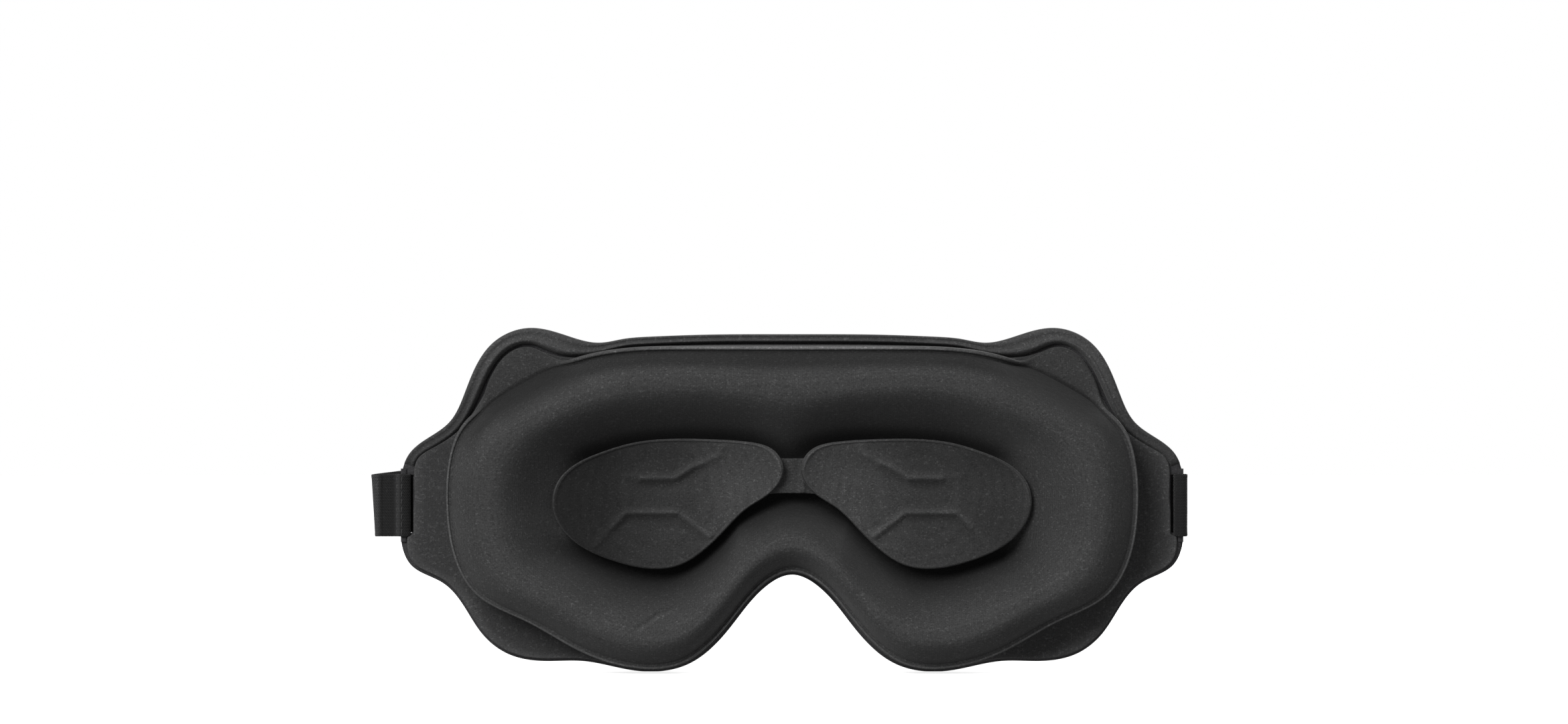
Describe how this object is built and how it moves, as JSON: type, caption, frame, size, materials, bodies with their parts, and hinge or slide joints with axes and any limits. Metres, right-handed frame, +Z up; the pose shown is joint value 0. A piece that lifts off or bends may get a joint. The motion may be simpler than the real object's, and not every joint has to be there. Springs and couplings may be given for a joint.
{
  "type": "contoured sleep eye mask",
  "caption": "Dark contoured sleep mask with a raised ring cushion, recessed eye plates, a nose arch and a folded two-part elastic strap.",
  "frame": {"origin": "on the plane of the cushion's crest, midway between the eyes and level with the strap, which is the mount wearer_face", "axes": "+X to the wearer's left, +Y towards the wearer's face, +Z up when worn"},
  "size_m": [0.2598, 0.0402, 0.1096],
  "materials": {
    "outer_fabric": "matt brushed knit",
    "rim_fabric": "matt pressed edge",
    "lining_fabric": "matt brushed knit",
    "cushion_fabric": "matt stretch knit",
    "plate_fabric": "matt pressed knit",
    "foam": "soft open-cell foam",
    "elastic": "ribbed woven elastic",
    "hook": "hook tape",
    "pile": "looped pile tape",
    "thread": "sewing thread"
  },
  "bodies": {
    "mask": {"outer_cover": "outer_fabric", "rolled_rim": "rim_fabric", "blackout_core": "foam", "inner_lining": "lining_fabric", "cushion_core": "foam", "cushion_cover": "cushion_fabric", "ear_flange_left": "cushion_fabric", "ear_flange_right": "cushion_fabric", "eye_plate_left": "plate_fabric", "eye_plate_right": "plate_fabric", "plate_pad_left": "foam", "plate_pad_right": "foam", "bridge_strip": "plate_fabric"},
    "left_strap_stub": {"strap_left_loop": "elastic", "strap_left_seam": "thread"},
    "left_strap_run_1": {"strap_left_run_1": "elastic"},
    "left_strap_run_2": {"strap_left_run_2": "elastic"},
    "left_strap_run_3": {"strap_left_run_3": "elastic", "hook_patch": "hook", "hook_patch_stitches": "thread"},
    "right_strap_run_1": {"strap_right_loop": "elastic", "strap_right_seam": "thread", "strap_right_run_1": "elastic"},
    "right_strap_run_2": {"strap_right_run_2": "elastic", "loop_patch": "pile", "loop_patch_stitches": "thread"}
  },
  "joints": [
    {"name": "left_strap_swing", "type": "hinge", "parent": "mask", "child": "left_strap_stub", "pos_m": [0.1242, -0.0237, 0], "axis": [0, 0, 1], "range_deg": [0, 95]},
    {"name": "left_strap_unfold", "type": "hinge", "parent": "left_strap_stub", "child": "left_strap_run_1", "pos_m": [0.1322, -0.0247, 0], "axis": [0.0593, 0, 0.9982], "range_deg": [0, 169]},
    {"name": "left_strap_second_fold", "type": "hinge", "parent": "left_strap_run_1", "child": "left_strap_run_2", "pos_m": [0.08197, -0.03691, 0.00607], "axis": [0.1173, 0.0113, 0.993], "range_deg": [-180.01, 0]},
    {"name": "left_strap_third_fold", "type": "hinge", "parent": "left_strap_run_2", "child": "left_strap_run_3", "pos_m": [0.13202, -0.02896, 0.00007], "axis": [0.1173, 0.0113, 0.993], "range_deg": [0, 180.01]},
    {"name": "right_strap_swing", "type": "hinge", "parent": "mask", "child": "right_strap_run_1", "pos_m": [-0.1242, -0.0237, 0], "axis": [0, 0, -1], "range_deg": [0, 215]},
    {"name": "right_strap_unfold", "type": "hinge", "parent": "right_strap_run_1", "child": "right_strap_run_2", "pos_m": [-0.07005, -0.03861, 0], "axis": [0, 0, 1], "range_deg": [0, 180]}
  ],
  "couplings": [
    {"joint": "left_strap_second_fold", "follows": "left_strap_unfold", "ratio": -1.0651},
    {"joint": "left_strap_third_fold", "follows": "left_strap_unfold", "ratio": 1.0651}
  ]
}
